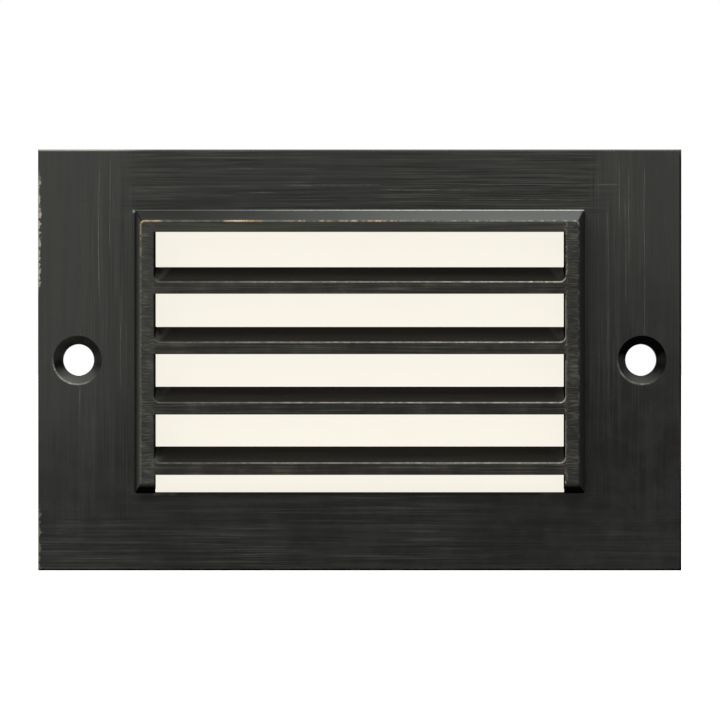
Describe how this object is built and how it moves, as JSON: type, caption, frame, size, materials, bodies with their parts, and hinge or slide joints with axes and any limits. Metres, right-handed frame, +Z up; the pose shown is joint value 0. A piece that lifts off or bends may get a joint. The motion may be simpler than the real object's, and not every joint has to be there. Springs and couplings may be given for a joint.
{
  "type": "recessed step light",
  "caption": "Recessed step light: flat bronze faceplate with a raised louvred hood over a frosted lens, screwed to a sealed box with lamp and cable gland.",
  "frame": {"origin": "middle of the two wall screw holes, on the back face of the faceplate", "axes": "+Z up, the front faces -Y, +X along the plate's long side, to the right of a person facing it"},
  "size_m": [0.11, 0.077, 0.072],
  "materials": {
    "bronze": "dark bronze patina, brushed, worn to bare brass on the edges",
    "rubber": "matte black",
    "frosted_glass": "frosted on the inside, warm when lit",
    "steel_sheet": "stamped, satin",
    "screw_steel": "bright turned",
    "housing_coat": "cast, with a dark powder coat",
    "reflector_coat": "white gloss enamel",
    "ceramic": "unglazed, off white",
    "brass": "bright turned",
    "board": "white circuit board",
    "chips": "yellow phosphor over a white frame",
    "lamp_foot": "white moulded",
    "pin_plate": "nickel plated",
    "block_plastic": "natural nylon",
    "red_insulation": "silicone",
    "black_insulation": "silicone",
    "gland_plastic": "black moulded nylon"
  },
  "bodies": {
    "root": {"faceplate": "bronze", "lens_gasket": "rubber", "lens": "frosted_glass", "lens_retainer": "steel_sheet", "retainer_screws": "screw_steel", "housing": "housing_coat", "housing_gasket": "rubber", "housing_screws": "screw_steel", "screw_seals": "rubber", "reflector": "reflector_coat", "reflector_screws": "screw_steel", "lamp_bracket": "steel_sheet", "bracket_screws": "screw_steel", "lamp_holder": "ceramic", "holder_screws": "screw_steel", "holder_contacts": "brass", "lamp_board": "board", "lamp_chips": "chips", "lamp_base": "lamp_foot", "lamp_pins": "pin_plate", "terminal_block": "block_plastic", "terminal_barrels": "brass", "terminal_screws": "screw_steel", "block_screw": "screw_steel", "lead_red": "red_insulation", "lead_black": "black_insulation", "gland_washer": "rubber", "gland_body": "gland_plastic", "gland_seal": "rubber", "gland_locknut": "gland_plastic", "gland_nut": "gland_plastic"}
  },
  "joints": []
}
